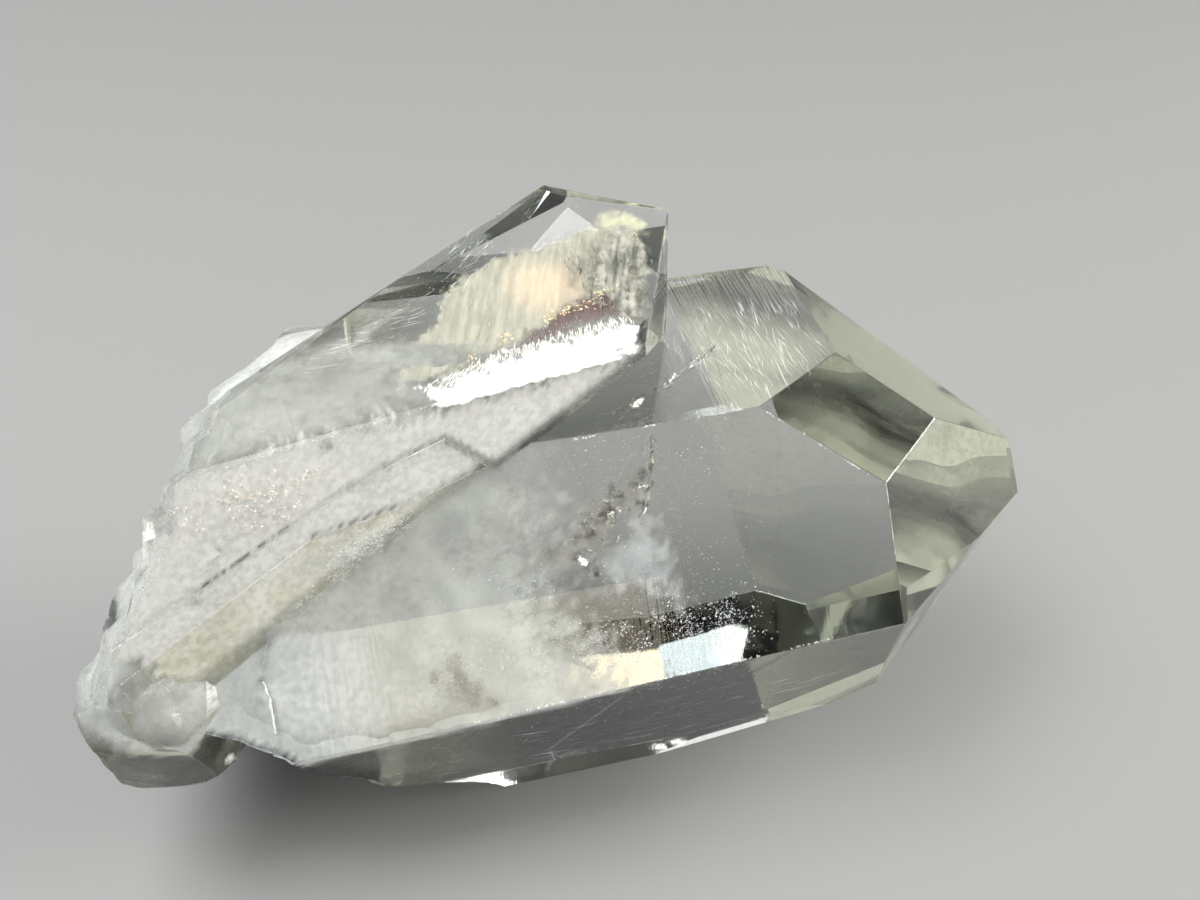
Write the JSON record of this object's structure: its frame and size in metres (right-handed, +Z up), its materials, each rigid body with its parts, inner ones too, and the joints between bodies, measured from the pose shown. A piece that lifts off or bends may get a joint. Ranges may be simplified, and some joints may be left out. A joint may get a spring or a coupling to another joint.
{
  "type": "quartz crystal point",
  "caption": "Clear quartz specimen: a large flat-faced point with a smaller point grown onto it at a slant, broken off at the base and lying on one flat face.",
  "frame": {"origin": "centre of the specimen's box, at the level of the flat it lies on", "axes": "+Z up from the flat it lies on; the large crystal's long axis runs within 13 degrees of +X and its tip points to +X; +Y is towards the back, away from the broken knob"},
  "size_m": [0.0568, 0.0376, 0.032],
  "materials": {
    "clear_quartz": "polished natural crystal faces, clear towards the tips and milky towards the broken base"
  },
  "bodies": {
    "root": {"quartz_crystal": "clear_quartz"}
  },
  "joints": []
}
